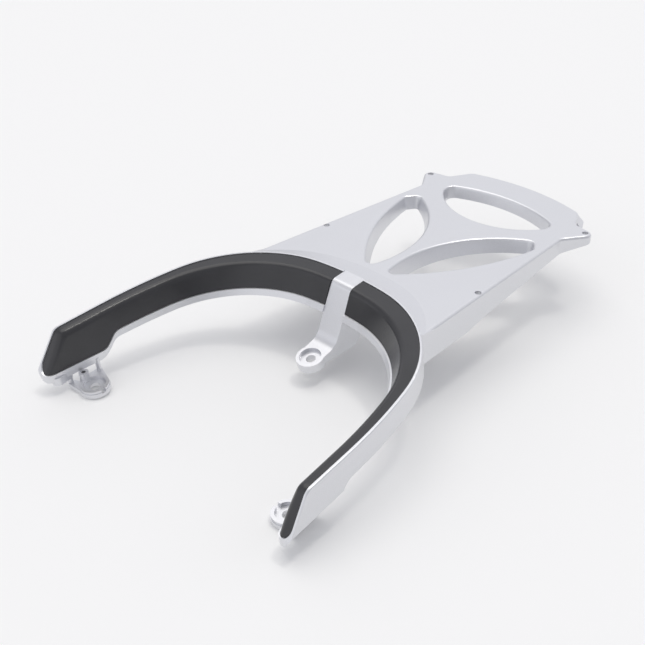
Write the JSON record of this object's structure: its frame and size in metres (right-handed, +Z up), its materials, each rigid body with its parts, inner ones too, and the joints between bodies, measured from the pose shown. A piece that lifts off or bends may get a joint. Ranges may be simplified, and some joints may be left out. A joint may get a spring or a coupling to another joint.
{
  "type": "motorcycle luggage rack",
  "caption": "Cast rear luggage rack with a flat carrier plate, cut-outs for straps, a horseshoe grab rail with dark grip covers and bolted feet.",
  "frame": {"origin": "midway between the two front case holes, on the top face of the carrier plate", "axes": "+Z up, +Y to the rear of the vehicle; left is -X and right is +X, as seen from the open front end of the rail"},
  "size_m": [0.3154, 0.5038, 0.0831],
  "materials": {
    "silver_casting": "satin silver paint",
    "grip_plastic": "satin black, fine grain",
    "screw_steel": "zinc plated"
  },
  "bodies": {
    "root": {"rack_casting": "silver_casting", "left_grip_cover": "grip_plastic", "right_grip_cover": "grip_plastic", "left_grip_screws": "screw_steel", "right_grip_screws": "screw_steel"}
  },
  "joints": []
}
